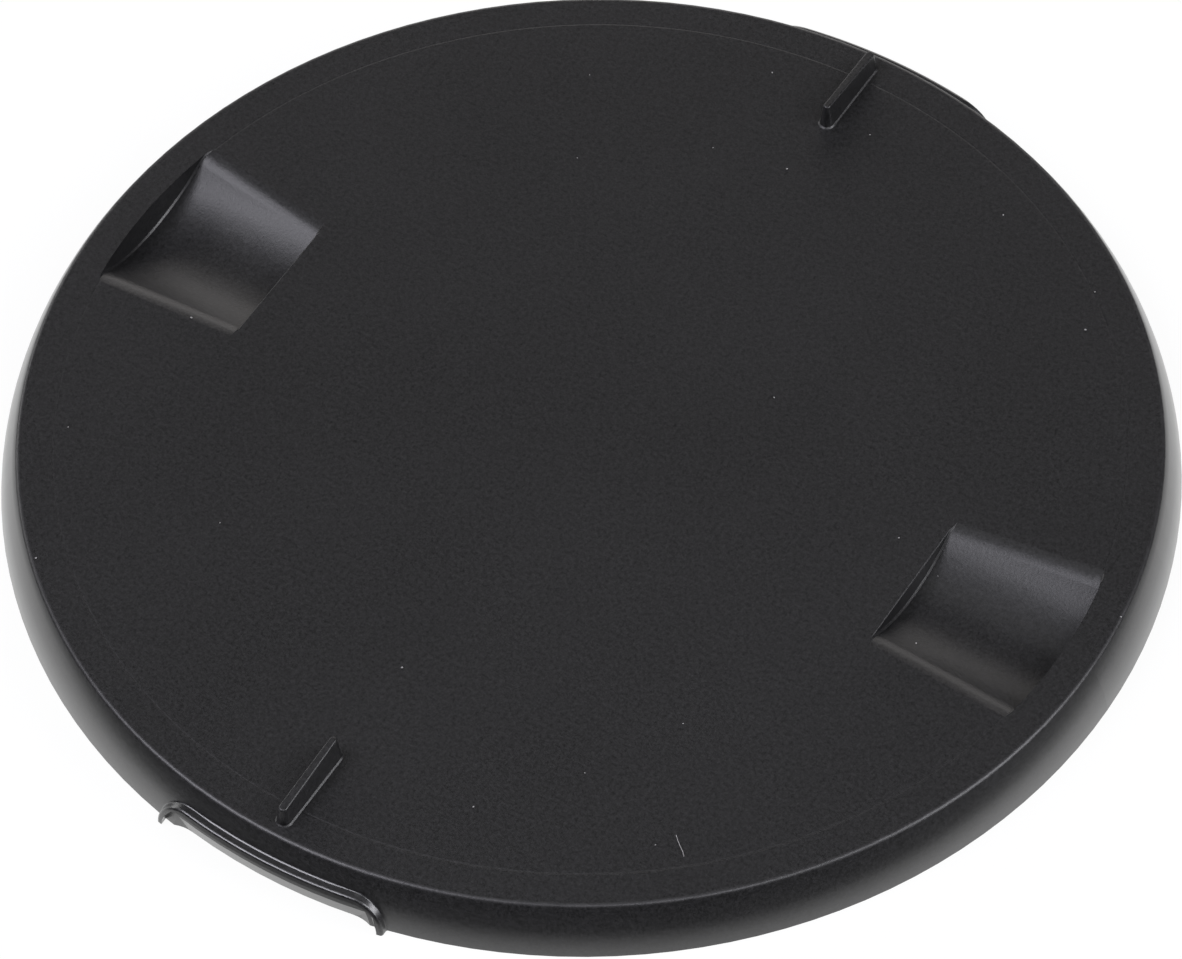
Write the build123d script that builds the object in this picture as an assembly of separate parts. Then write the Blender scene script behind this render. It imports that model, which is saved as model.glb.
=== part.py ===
from build123d import *
import math
import os

# Robot mop drip tray, one moulded shell. X runs through the two wheel scoops, Y through the fins and
# the grips, Z is up from the floor. The tray is the same on both sides of YZ. Millimetres.

# Shell
wall = 2.0                  # even wall of the moulding
deck_edge_radius = 83.5     # where deck and rim would meet without the rounding
deck_edge_round = 0.8
rim_flare = 3.0             # the rim is this much wider at the floor than at the deck, each side
rim_bulge = 0.55            # height of the rim's curve over its straight chord

# Fine ring line in the deck
border_width = 4.8          # deck edge to ring line, also to the scoops' round outer wall
ring_line_width = 0.4
ring_line_depth = 0.03

# Wheel scoops
scoop_length = 24.4         # straight inner wall to round outer wall, along X
scoop_floor_radius = 19.5
scoop_depth = 5.5           # at the outer wall
scoop_fall = 1.9            # the inner end is shallower by this much
scoop_shoulder = 5.0        # soft rounding of the long edges into the deck
shoulder_runout = 4.0       # degrees left between shoulder and deck where they meet
scoop_skew = 2.8            # degrees in plan, the outer end swings towards +Y
scoop_wall_foot = 0.25      # bevel where the end walls meet the scoop's floor
scoop_lip_round = 0.25      # rounding of the straight wall's top edge
floor_gap = 0.8             # scoop's underside to the floor

# Fins
fin_inset = 1.5             # deck edge to the fin's outer end
fin_length = 15.2
fin_thickness = 2.5         # at its root
fin_height = 4.2            # at the end nearer the middle
fin_fall = 1.0              # the outer end is lower by this much
fin_top_round = 0.3
fin_foot_bevel = 0.2
fin_draft = 8.0             # degrees, the blade thins upwards
fin_root = 1.0              # the fin runs this deep into the deck

# Grips
grip_half_width = 18.9      # over the rib, at the floor
grip_drop = 3.1             # deck down to the top of the rib
grip_rib_width = 0.85       # at the top, the rib thins to a tip at the floor
grip_tip = 0.3
grip_proud = 1.15           # the rib stands off the rim by this much
grip_rib_round = 0.45
grip_crease = 0.3           # rounding between rib and rim
grip_set_back = 0.8         # foot of the wall inside the arch, set back from the rim's foot
grip_undercut = 9.5         # degrees, that wall leans outwards from its foot
grip_flare = 4.5            # length over which that wall curves out again to the rib
grip_flare_radius = 5.6
grip_flare_turn = 60.0      # degrees, enough to run on into the rib

# Sizes that follow
deck_height = scoop_depth + wall + floor_gap
under_height = deck_height - wall
base_radius = deck_edge_radius + rim_flare
rim_chord = math.hypot(rim_flare, deck_height)
rim_radius = rim_chord**2 / (8 * rim_bulge) + rim_bulge / 2
rim_lean = math.atan2(rim_flare, deck_height)
rim_reach = rim_radius - rim_bulge
rim_center_r = deck_edge_radius + rim_flare / 2 - rim_reach * math.cos(rim_lean)
rim_center_z = deck_height / 2 - rim_reach * math.sin(rim_lean)
ring_radius = deck_edge_radius - border_width
scoop_inner_x = ring_radius - scoop_length
scoop_inner_depth = scoop_depth - scoop_fall
scoop_reach = scoop_floor_radius + scoop_shoulder
fin_outer = deck_edge_radius - fin_inset
fin_inner = fin_outer - fin_length
fin_base = deck_height - fin_root
grip_outer_radius = deck_height - grip_drop
grip_inner_radius = grip_outer_radius - grip_rib_width
grip_inner_half = grip_half_width - grip_tip
grip_center = grip_half_width - grip_outer_radius
grip_wall_radius = base_radius - grip_set_back
grip_flare_start = grip_half_width - grip_rib_width - grip_flare


def rim_at(height, offset):
    return rim_center_r + math.sqrt((rim_radius + offset) ** 2 - (height - rim_center_z) ** 2)


def rim_arc(low, high, offset):
    middle = (low + high) / 2
    points = [(rim_at(height, offset), height) for height in (low, middle, high)]
    return ThreePointArc(*points)


def shell():
    outer = rim_arc(0, deck_height, 0)
    inner = rim_arc(0, under_height, -wall)
    lines = [outer, inner, Line(outer @ 0, inner @ 0)]
    lines += Polyline(outer @ 1, (0, deck_height), (0, under_height), inner @ 1).edges()
    profile = make_face(lines)
    corner = profile.vertices().sort_by_distance(outer @ 1)[:1]
    return revolve(Plane.XZ * fillet(corner, deck_edge_round), Axis.Z)


def scoop_section(x, grow, lid):
    # cross-section at one X, measured from the deck; grow gives the underside one wall away
    depth = scoop_inner_depth + scoop_fall * (x - scoop_inner_x) / scoop_length
    axis_z = scoop_floor_radius - depth
    floor_r = scoop_floor_radius + grow
    shoulder_r = scoop_shoulder - grow
    lean = math.acos((axis_z + scoop_shoulder) / scoop_reach)
    side = scoop_reach * math.sin(lean)
    runout = math.radians(shoulder_runout)
    angles = (lean, (lean + runout) / 2, runout)
    bend = [(side - shoulder_r * math.sin(a), shoulder_r * math.cos(a) - scoop_shoulder) for a in angles]
    rise = 2 * scoop_shoulder * (1 - math.cos(runout))
    edge = (bend[2][0] + rise / math.tan(runout), bend[2][1] + rise)
    right = [ThreePointArc(*bend)] + Polyline(bend[2], edge, (edge[0], lid)).edges()
    left = [mirror(piece, Plane.YZ) for piece in right]
    floor_arc = ThreePointArc(bend[0], (0, axis_z - floor_r), (-bend[0][0], bend[0][1]))
    cover = Line((edge[0], lid), (-edge[0], lid))
    section = make_face([floor_arc, cover] + right + left)
    middle = (x - scoop_inner_x) * math.tan(math.radians(scoop_skew))
    return Plane((x, middle, deck_height), x_dir=(0, 1, 0), z_dir=(1, 0, 0)) * section


def scoop_block(grow, lid):
    stop = ring_radius + grow
    ends = (scoop_inner_x - grow, stop + wall)
    trough = loft([scoop_section(x, grow, lid) for x in ends], ruled=True)
    return trough & Cylinder(stop, 4 * deck_height)


def scoop_void():
    block = scoop_block(0, wall)
    low = block.edges().filter_by(lambda e: e.center().Z < deck_height + wall / 4)
    across = low.filter_by(lambda e: abs(e.tangent_at(0.5).X) < abs(e.tangent_at(0.5).Y))
    return chamfer(across, scoop_wall_foot)


def scoop_lip():
    # waste of the rounding along the straight wall's top edge
    corner = (scoop_inner_x, deck_height)
    start = (scoop_inner_x - scoop_lip_round, deck_height)
    stop = (scoop_inner_x, deck_height - scoop_lip_round)
    half_chord = math.sqrt(scoop_floor_radius**2 - (scoop_floor_radius - scoop_inner_depth) ** 2)
    waste = make_face([RadiusArc(start, stop, scoop_lip_round)] + Polyline(start, corner, stop).edges())
    return extrude(Plane.XZ * waste, half_chord, both=True)


def ring_line():
    # shallow vee, its width measured at the deck
    middle = ring_radius - ring_line_width
    top = deck_height + ring_line_depth
    bottom = (middle, deck_height - ring_line_depth)
    vee = Polyline((middle - ring_line_width, top), bottom, (middle + ring_line_width, top), close=True)
    return revolve(Plane.XZ * make_face(vee), Axis.Z)


def fin():
    plan = Pos(0, fin_outer - fin_length / 2, fin_base) * SlotOverall(fin_length, fin_thickness, rotation=90)
    high = deck_height + fin_height
    top = [(fin_inner, high), (fin_outer, high - fin_fall)]
    side = Polyline((fin_inner, fin_base), *top, (fin_outer, fin_base), close=True)
    blade = extrude(Plane.YZ * make_face(side), fin_thickness, both=True)
    blade = blade & extrude(plan, fin_root + fin_height, taper=fin_draft)
    blade = fillet(blade.faces().sort_by(Axis.Z)[-1].edges(), fin_top_round)
    blade = blade + extrude(offset(plan, 2 * fin_foot_bevel), fin_root)
    level = blade.edges().filter_by_position(Axis.Z, deck_height, deck_height)
    crease = level.filter_by(lambda e: e.is_interior)
    return chamfer(crease, fin_foot_bevel)


def arch(half_width, radius):
    # upper half of a slot standing on the floor, seen along Y and carried outwards
    block = extrude(Plane.XZ * SlotOverall(2 * half_width, 2 * radius), -2 * base_radius)
    keep = Box(2 * base_radius, 2 * base_radius, deck_height, align=(Align.CENTER, Align.MIN, Align.MIN))
    return block & keep


def on_arch(edge):
    # true for an edge that follows the arch's outer line
    place = edge.position_at(0.5)
    reach = math.hypot(max(abs(place.X) - grip_center, 0), place.Z)
    return abs(reach - grip_outer_radius) < grip_crease


def rim_core(offset):
    outer = rim_arc(-wall, deck_height, offset)
    profile = make_face([outer] + Polyline(outer @ 1, (0, deck_height), (0, -wall), outer @ 0).edges())
    return revolve(Plane.XZ * profile, Axis.Z)


def grip_rib():
    ring = arch(grip_half_width, grip_outer_radius) - arch(grip_half_width - grip_rib_width, grip_inner_radius)
    rib = (ring & rim_core(grip_proud)) - rim_core(-wall / 2)
    front = rib.faces().sort_by(lambda f: f.center().Y)[-1]
    outline = front.edges().filter_by(on_arch)
    return fillet(outline, grip_rib_round)


def grip_recess():
    # the space inside the arch and outside the set-back wall
    start = (grip_flare_start, math.sqrt(grip_wall_radius**2 - grip_flare_start**2))
    middle = ThreePointArc((-start[0], start[1]), (0, grip_wall_radius), start)
    right = JernArc(middle @ 1, middle % 1, grip_flare_radius, grip_flare_turn)
    left = mirror(right, Plane.YZ)
    end_x = (right @ 1).X
    back = Polyline(right @ 1, (end_x, 0), (-end_x, 0), left @ 1).edges()
    ends = extrude(make_face([middle, right, left] + back), deck_height)
    lean = deck_height * math.tan(math.radians(grip_undercut))
    level = (Align.CENTER, Align.CENTER, Align.MIN)
    leaning = Cone(grip_wall_radius, grip_wall_radius + lean, deck_height, align=level)
    return arch(grip_inner_half, grip_inner_radius) - ends - leaning


def on_rib_outline(edge):
    place = edge.position_at(0.5)
    gap = math.hypot(place.X, place.Y) - rim_at(place.Z, 0)
    return on_arch(edge) and abs(gap) < grip_crease


def drip_tray():
    bulge = scoop_block(wall, -wall / 2)
    void = scoop_void() + scoop_lip()
    body = shell() + bulge + mirror(bulge, Plane.YZ)
    body = body - void - mirror(void, Plane.YZ) - ring_line()
    blade = fin()
    rib = grip_rib()
    recess = grip_recess()
    body = body + blade + mirror(blade, Plane.XZ) + rib + mirror(rib, Plane.XZ)
    outline = body.edges().filter_by(on_rib_outline)
    body = fillet(outline, grip_crease)
    return body - recess - mirror(recess, Plane.XZ)


tray = drip_tray()
os.makedirs("parts", exist_ok=True)
export_step(tray, "parts/drip_tray.step")
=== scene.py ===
import math
import bmesh
import bpy
from mathutils import Matrix, Quaternion, Vector
from mathutils.bvhtree import BVHTree


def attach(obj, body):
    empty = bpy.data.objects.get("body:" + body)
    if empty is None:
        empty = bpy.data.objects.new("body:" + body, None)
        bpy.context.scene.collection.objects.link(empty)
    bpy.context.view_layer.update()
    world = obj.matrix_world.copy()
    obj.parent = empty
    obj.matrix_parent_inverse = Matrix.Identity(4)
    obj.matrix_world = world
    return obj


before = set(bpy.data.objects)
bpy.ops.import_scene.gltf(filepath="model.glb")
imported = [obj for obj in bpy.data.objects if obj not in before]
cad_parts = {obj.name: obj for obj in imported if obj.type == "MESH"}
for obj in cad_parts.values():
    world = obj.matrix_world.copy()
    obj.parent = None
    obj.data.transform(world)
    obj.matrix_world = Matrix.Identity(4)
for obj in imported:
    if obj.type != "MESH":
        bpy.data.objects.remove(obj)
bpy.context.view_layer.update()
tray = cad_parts["drip_tray"]
scene = bpy.context.scene
scene.view_settings.view_transform = "Standard"
print("frame loaded:", len(tray.data.polygons), "faces")

# camera, from a fit to the deck edge and the rim's foot
cameraSet = {
    "place": (0.318991, -0.486940, 0.755301),   # metres, from the tray's centre on the floor
    "azimuth": 33.2316,                         # degrees
    "elevation": 52.5269,
    "roll": -1.8333,
    "lens": 197.97,                             # mm
    "sensor": 36.0,                             # mm wide
    "nearest": 0.05,                            # metres, where the camera starts and stops seeing
    "furthest": 20.0,
}


def makeCamera(s):
    az, el = math.radians(s["azimuth"]), math.radians(s["elevation"])
    back = Vector((math.sin(az) * math.cos(el), -math.cos(az) * math.cos(el), math.sin(el)))
    data = bpy.data.cameras.new("photoCamera")
    data.sensor_fit = "HORIZONTAL"
    data.sensor_width = s["sensor"]
    data.lens = s["lens"]
    data.clip_start, data.clip_end = s["nearest"], s["furthest"]
    cam = bpy.data.objects.new("photoCamera", data)
    cam.rotation_mode = "QUATERNION"
    roll = Quaternion((0, 0, 1), math.radians(s["roll"]))
    cam.rotation_quaternion = back.to_track_quat("Z", "Y") @ roll
    cam.location = s["place"]
    scene.collection.objects.link(cam)
    scene.camera = cam
    print("camera set")


makeCamera(cameraSet)


# node helpers
def addNode(tree, kind, **settings):
    node = tree.nodes.new(kind)
    for name, value in settings.items():
        setattr(node, name, value)
    return node


def mapped(tree, source, low, high, fromLow=0.0, fromHigh=1.0, **settings):
    node = addNode(tree, "ShaderNodeMapRange", **settings)
    node.inputs["From Min"].default_value = fromLow
    node.inputs["From Max"].default_value = fromHigh
    node.inputs["To Min"].default_value = low
    node.inputs["To Max"].default_value = high
    tree.links.new(source, node.inputs["Value"])
    return node.outputs["Result"]


def joined(tree, how, first, second):
    node = addNode(tree, "ShaderNodeMath", operation=how)
    tree.links.new(first, node.inputs[0])
    tree.links.new(second, node.inputs[1])
    return node.outputs[0]


def noiseAt(tree, where, scale, detail):
    node = addNode(tree, "ShaderNodeTexNoise")
    node.inputs["Scale"].default_value = scale
    node.inputs["Detail"].default_value = detail
    tree.links.new(where, node.inputs["Vector"])
    return node.outputs["Fac"]


def toned(tree, factor, first, second):
    node = addNode(tree, "ShaderNodeMix", data_type="RGBA")
    tree.links.new(factor, node.inputs["Factor"])
    for name, colour in (("A", first), ("B", second)):
        if isinstance(colour, tuple):
            node.inputs[name].default_value = colour
        else:
            tree.links.new(colour, node.inputs[name])
    return node.outputs["Result"]


# soft boxes and room light
lightSet = {
    "horizon": 0.054,                  # room light low down
    "zenith": 0.60,                    # room light overhead
    "heights": (0.3, 1.0),             # it grows between these heights, 1 is straight up
    "leftSide": 0.12,                  # times this on the left, and this on the right
    "rightSide": 1.90,
    "sides": (-0.6, 0.4),              # that grows between these sideways directions, 1 is +X
    "boxes": [
        # name, direction from the tray, distance, width, height, watts, tint
        ("boxFrontLeft", (-0.38, -0.46, 0.80), 1.6, 1.0, 0.7, 19.4, (0.92, 0.91, 1.0)),
        ("boxRight", (0.80, 0.22, 0.56), 1.6, 0.7, 0.7, 14.8, (0.95, 0.95, 1.0)),
        ("boxLeft", (-0.95, 0.15, 0.28), 1.6, 1.0, 0.6, 5.4, (1.0, 1.0, 1.0)),
        ("boxFrontRight", (0.52, -0.22, 0.83), 1.6, 1.0, 0.35, 7.6, (0.94, 0.94, 1.0)),
        ("boxTop", (-0.12, 0.20, 0.97), 1.6, 0.5, 0.5, 0.86, (1.0, 1.0, 1.0)),
        ("cardFar", (-0.45, 0.87, 0.24), 1.5, 1.2, 0.9, 5.3, (1.0, 0.96, 0.94)),
    ],
}


def areaLight(name, way, far, width, height, watts, tint):
    lamp = bpy.data.lights.new(name, "AREA")
    lamp.shape = "RECTANGLE"
    lamp.size, lamp.size_y = width, height
    lamp.energy = watts
    lamp.color = tint
    box = bpy.data.objects.new(name, lamp)
    box.location = Vector(way).normalized() * far
    box.rotation_mode = "QUATERNION"
    box.rotation_quaternion = Vector(way).to_track_quat("Z", "Y")
    scene.collection.objects.link(box)


def lightRoom(s):
    world = bpy.data.worlds.new("room")
    world.use_nodes = True
    tree = world.node_tree
    split = addNode(tree, "ShaderNodeSeparateXYZ")
    tree.links.new(addNode(tree, "ShaderNodeTexCoord").outputs["Generated"], split.inputs[0])
    upwards = mapped(tree, split.outputs["Z"], s["horizon"], s["zenith"], *s["heights"],
                     interpolation_type="SMOOTHSTEP")
    across = mapped(tree, split.outputs["X"], s["leftSide"], s["rightSide"], *s["sides"])
    strength = joined(tree, "MULTIPLY", upwards, across)
    tree.links.new(strength, tree.nodes["Background"].inputs["Strength"])
    scene.world = world
    for box in s["boxes"]:
        areaLight(*box)
    print("lights:", len(s["boxes"]))


lightRoom(lightSet)

# pale floor, part lit and part white to the camera; in reflections the white fades away from the tray
floorSet = {
    "half": 6.0,                       # metres
    "drop": 0.00002,                   # metres below the tray's foot
    "colour": (0.92, 0.92, 0.92, 1),
    "rough": 0.9,
    "white": 0.93,                     # share of plain white to the camera, the rest keeps the shadow
    "centre": (-0.0136, 0.0210, 0.0),  # metres, middle of the white, a little off the tray's axis
    "nearEdge": 0.1090,                # metres from that middle, where it starts and stops fading
    "farEdge": 0.1230,
    "farWhite": 0.10,                  # strength of the white beyond that
}


def floorPaint(s):
    mat = bpy.data.materials.new("paleFloorPaint")
    mat.use_nodes = True
    tree = mat.node_tree
    shader = tree.nodes["Principled BSDF"]
    shader.inputs["Base Color"].default_value = s["colour"]
    shader.inputs["Roughness"].default_value = s["rough"]
    shader.inputs["Specular IOR Level"].default_value = 0.0
    path = addNode(tree, "ShaderNodeLightPath")
    glossy = path.outputs["Is Glossy Ray"]
    direct = joined(tree, "MAXIMUM", path.outputs["Is Camera Ray"], path.outputs["Is Transmission Ray"])
    share = joined(tree, "MAXIMUM", mapped(tree, direct, 0.0, s["white"]), glossy)
    # strength of the white: full to the camera, fading in reflections
    far = addNode(tree, "ShaderNodeVectorMath", operation="DISTANCE")
    far.inputs[1].default_value = s["centre"]
    tree.links.new(addNode(tree, "ShaderNodeTexCoord").outputs["Object"], far.inputs[0])
    fade = mapped(tree, far.outputs["Value"], 1.0, s["farWhite"], s["nearEdge"], s["farEdge"])
    strength = addNode(tree, "ShaderNodeMix")
    strength.inputs["A"].default_value = 1.0
    tree.links.new(glossy, strength.inputs["Factor"])
    tree.links.new(fade, strength.inputs["B"])
    white = addNode(tree, "ShaderNodeEmission")
    tree.links.new(strength.outputs["Result"], white.inputs["Strength"])
    mix = addNode(tree, "ShaderNodeMixShader")
    tree.links.new(share, mix.inputs["Fac"])
    tree.links.new(shader.outputs["BSDF"], mix.inputs[1])
    tree.links.new(white.outputs["Emission"], mix.inputs[2])
    tree.links.new(mix.outputs["Shader"], tree.nodes["Material Output"].inputs["Surface"])
    return mat


def makeFloor(s):
    bm = bmesh.new()
    bmesh.ops.create_grid(bm, x_segments=1, y_segments=1, size=s["half"])
    bmesh.ops.translate(bm, verts=bm.verts, vec=(0, 0, -s["drop"]))
    mesh = bpy.data.meshes.new("paleFloor")
    bm.to_mesh(mesh)
    bm.free()
    floor = bpy.data.objects.new("paleFloor", mesh)
    scene.collection.objects.link(floor)
    mesh.materials.append(floorPaint(s))
    print("floor laid")


makeFloor(floorSet)

# black moulded plastic, spark-eroded grain on the deck, a polished rim and a painted highlight on the deck
# edge
plasticSet = {
    "dark": (0.0024, 0.0024, 0.0025, 1),
    "pale": (0.0198, 0.0196, 0.0203, 1),
    # paler colour on the rounded deck edge, a painted highlight laid on in patches
    "paintedEdgeHighlight": (0.0280, 0.0274, 0.0280, 1),
    "ior": 1.54,
    "grainScale": 1700.0,              # grains of about 0.6 mm
    "fineScale": 3600.0,               # and of about 0.3 mm between them
    "grainDetail": 1.0,
    "grainRange": (0.31, 0.69),        # noise levels that take the colour from dark to pale
    "grainShare": 0.86,
    "cloudScale": 30.0,                # slow change across the moulding
    "cloudDetail": 3.0,
    "cloudRange": (0.3, 0.7),
    "cloudShare": 0.14,
    "edgeHighlightScale": 260.0,                 # patches of painted highlight along the edge
    "edgeHighlightDetail": 3.0,
    "edgeHighlightRange": (0.35, 0.70),
    "edgeHighlightShare": (0.3, 0.9),
    "edgeFrom": 0.0830,                # metres from the axis, rounded deck edge
    "edgeMid": 0.0834,
    "edgeTo": 0.0838,
    "rimFrom": 0.0836,                 # metres from the axis, where the deck's finish turns into the rim's
    "rimTo": 0.0844,
    "deckRough": 0.41,
    "rimRough": 0.32,
    "roughSwing": 0.02,                # more or less rough with the grain
    "swingRange": (0.3, 0.7),
    "grainDepth": 0.000030,            # metres
    "deckBump": 0.9,
    "rimBump": 0.10,
}


def axisDistance(tree, where):
    split = addNode(tree, "ShaderNodeSeparateXYZ")
    flat = addNode(tree, "ShaderNodeCombineXYZ")
    far = addNode(tree, "ShaderNodeVectorMath", operation="LENGTH")
    tree.links.new(where, split.inputs[0])
    tree.links.new(split.outputs["X"], flat.inputs["X"])
    tree.links.new(split.outputs["Y"], flat.inputs["Y"])
    tree.links.new(flat.outputs[0], far.inputs[0])
    return far.outputs["Value"]


def makePlastic(s):
    mat = bpy.data.materials.new("blackMouldedPlastic")
    mat.use_nodes = True
    tree = mat.node_tree
    shader = tree.nodes["Principled BSDF"]
    shader.inputs["IOR"].default_value = s["ior"]
    shader.inputs["Coat Roughness"].default_value = s["rimRough"]
    where = addNode(tree, "ShaderNodeTexCoord").outputs["Object"]
    # grain: coarse and fine in equal parts
    coarse = noiseAt(tree, where, s["grainScale"], s["grainDetail"])
    fine = noiseAt(tree, where, s["fineScale"], s["grainDetail"])
    grain = joined(tree, "ADD", mapped(tree, coarse, 0.0, 0.5), mapped(tree, fine, 0.0, 0.5))
    # distance from the axis tells deck and rim apart
    radius = axisDistance(tree, where)
    onRim = mapped(tree, radius, 0.0, 1.0, s["rimFrom"], s["rimTo"])
    tree.links.new(onRim, shader.inputs["Coat Weight"])   # the polished rim shines more
    # colour: grains, slow clouds, then patches of painted highlight on the deck edge
    cloud = noiseAt(tree, where, s["cloudScale"], s["cloudDetail"])
    fromGrain = mapped(tree, grain, 0.0, s["grainShare"], *s["grainRange"])
    fromCloud = mapped(tree, cloud, 0.0, s["cloudShare"], *s["cloudRange"])
    tone = toned(tree, joined(tree, "ADD", fromGrain, fromCloud), s["dark"], s["pale"])
    upEdge = mapped(tree, radius, 0.0, 1.0, s["edgeFrom"], s["edgeMid"])
    pastEdge = mapped(tree, radius, 1.0, 0.0, s["edgeMid"], s["edgeTo"])
    # the paler edge colour below is a painted highlight, not wear
    highlightPatches = noiseAt(tree, where, s["edgeHighlightScale"], s["edgeHighlightDetail"])
    onEdge = joined(tree, "MULTIPLY", upEdge, pastEdge)
    edgeHighlightMask = joined(tree, "MULTIPLY", onEdge, mapped(tree, highlightPatches, *s["edgeHighlightShare"], *s["edgeHighlightRange"]))
    tree.links.new(toned(tree, edgeHighlightMask, tone, s["paintedEdgeHighlight"]), shader.inputs["Base Color"])
    # roughness: deck to rim, with the grain on top
    rough = mapped(tree, onRim, s["deckRough"], s["rimRough"])
    swing = mapped(tree, grain, -s["roughSwing"], s["roughSwing"], *s["swingRange"])
    tree.links.new(joined(tree, "ADD", rough, swing), shader.inputs["Roughness"])
    # relief of the grain
    bump = addNode(tree, "ShaderNodeBump")
    bump.inputs["Distance"].default_value = s["grainDepth"]
    tree.links.new(mapped(tree, onRim, s["deckBump"], s["rimBump"]), bump.inputs["Strength"])
    tree.links.new(grain, bump.inputs["Height"])
    tree.links.new(bump.outputs["Normal"], shader.inputs["Normal"])
    return mat


plastic = makePlastic(plasticSet)
tray.data.materials.clear()
tray.data.materials.append(plastic)
print("plastic set")

# dust specks and one lint fibre on the deck, millimetres
dustSet = {
    "spots": [
        (-35.8, 57.8), (-12.2, 72.4), (-12.2, 55.0), (-0.5, 57.1), (6.8, 69.3), (-28.7, 42.8),
        (31.8, 65.9), (50.7, 60.0), (53.0, 53.0), (20.2, 18.6), (-65.4, -39.0), (-55.8, -61.1),
        (48.7, 5.8), (55.8, 4.8), (59.4, -7.7), (-36.6, -42.2), (-0.1, -50.3), (39.1, -38.1),
        (31.7, -52.4), (21.4, -65.3), (46.5, -57.7), (-61.4, -12.7), (82.8, 9.9),
    ],
    "small": 0.10,                     # half width of a speck
    "large": 0.20,
    "sizeStep": 0.618,                 # from one speck to the next, as a share of that range
    "turnStep": 2.4,                   # and as a turn, radians
    "squat": (1.0, 0.7, 0.5, 1.0),     # length, width and height of a speck, as a 4 x 4 diagonal
    "lift": 0.4,                       # its middle stands this share of its half width above the tray
    "fibre": [
        # x, y, height above the tray
        (48.1, -54.8, 0.06), (48.8, -55.5, 0.16), (49.5, -56.1, 0.20),
        (50.3, -56.7, 0.15), (50.9, -57.3, 0.06),
    ],
    "fibreHalf": 0.05,
    "fibreSides": 6,
    "colour": (0.32, 0.315, 0.31, 1),
    "rough": 0.9,
}
mm = 0.001
rayStart = 0.1                         # metres, above the tray


def topOfTray():
    points = [v.co for v in tray.data.vertices]
    faces = [tuple(f.vertices) for f in tray.data.polygons]
    tree = BVHTree.FromPolygons(points, faces)
    return lambda x, y: tree.ray_cast(Vector((x, y, rayStart)), Vector((0, 0, -1)))[0].z


def dustSpecks(bm, s, topAt):
    squat = Matrix.Diagonal(s["squat"])
    for i, (x, y) in enumerate(s["spots"]):
        half = s["small"] + (s["large"] - s["small"]) * ((i * s["sizeStep"]) % 1.0)
        height = topAt(x * mm, y * mm) + half * s["lift"] * mm
        place = Matrix.Translation((x * mm, y * mm, height))
        turn = Matrix.Rotation(i * s["turnStep"], 4, "Z")
        bmesh.ops.create_icosphere(bm, subdivisions=1, radius=half * mm, matrix=place @ turn @ squat)


def lintFibre(bm, s, topAt):
    path = [Vector((x * mm, y * mm, topAt(x * mm, y * mm) + z * mm)) for x, y, z in s["fibre"]]
    along = (path[-1] - path[0]).to_track_quat("Z", "Y").to_matrix().to_4x4()
    rings = []
    for point in path:
        verts = bmesh.ops.create_circle(bm, cap_ends=False, segments=s["fibreSides"],
                                        radius=s["fibreHalf"] * mm,
                                        matrix=Matrix.Translation(point) @ along)["verts"]
        rings.append([e for e in bm.edges if all(v in verts for v in e.verts)])
    for here, there in zip(rings, rings[1:]):
        bmesh.ops.bridge_loops(bm, edges=here + there)
    bmesh.ops.holes_fill(bm, edges=[e for e in bm.edges if e.is_boundary], sides=0)


def makeDust(s):
    topAt = topOfTray()
    bm = bmesh.new()
    dustSpecks(bm, s, topAt)
    lintFibre(bm, s, topAt)
    bmesh.ops.recalc_face_normals(bm, faces=bm.faces)
    mesh = bpy.data.meshes.new("dustAndLint")
    bm.to_mesh(mesh)
    bm.free()
    dust = bpy.data.objects.new("dustAndLint", mesh)
    scene.collection.objects.link(dust)
    mat = bpy.data.materials.new("paleDust")
    mat.use_nodes = True
    shader = mat.node_tree.nodes["Principled BSDF"]
    shader.inputs["Base Color"].default_value = s["colour"]
    shader.inputs["Roughness"].default_value = s["rough"]
    mesh.materials.append(mat)
    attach(dust, "root")
    print("dust:", len(mesh.polygons), "faces")


makeDust(dustSet)
